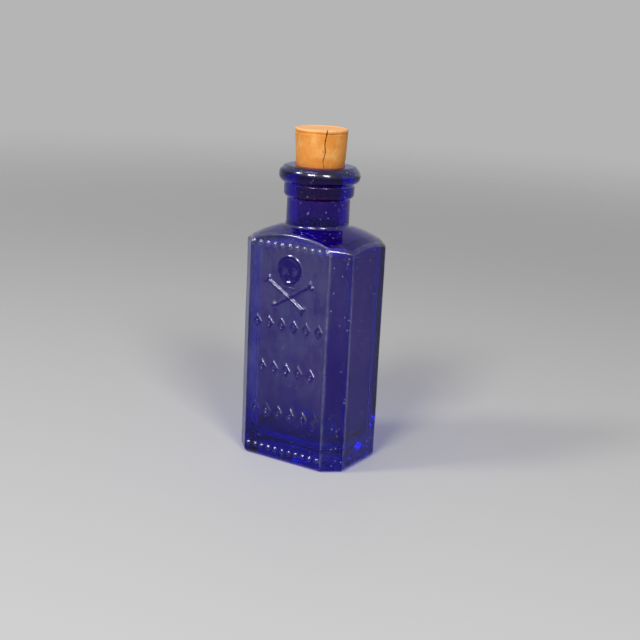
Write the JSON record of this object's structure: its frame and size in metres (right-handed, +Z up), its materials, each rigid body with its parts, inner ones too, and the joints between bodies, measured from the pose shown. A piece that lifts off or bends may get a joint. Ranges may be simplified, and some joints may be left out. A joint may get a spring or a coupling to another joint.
{
  "type": "glass bottle with rubber stopper",
  "caption": "Small cobalt glass bottle with cut corners, domed shoulder and rounded lip, relief skull and crossed bones on the front panel, closed by a tapered rubber stopper that pulls out.",
  "frame": {"origin": "middle of the base, on the axis of the neck", "axes": "+Z up along the neck, -Y out of the front panel that carries the relief, +X to the right of someone facing that panel"},
  "size_m": [0.0306, 0.0233, 0.0819],
  "materials": {
    "cobalt_glass": "glossy moulded cobalt blue glass with small seeds and scuffs",
    "aged_rubber": "matte aged orange rubber with a crack down one side"
  },
  "bodies": {
    "bottle": {"glass_bottle": "cobalt_glass"},
    "stopper": {"rubber_stopper": "aged_rubber"}
  },
  "joints": [
    {"name": "stopper_pull", "type": "slide", "parent": "bottle", "child": "stopper", "axis": [0, 0, 1], "range_m": [0, 0.025]}
  ]
}
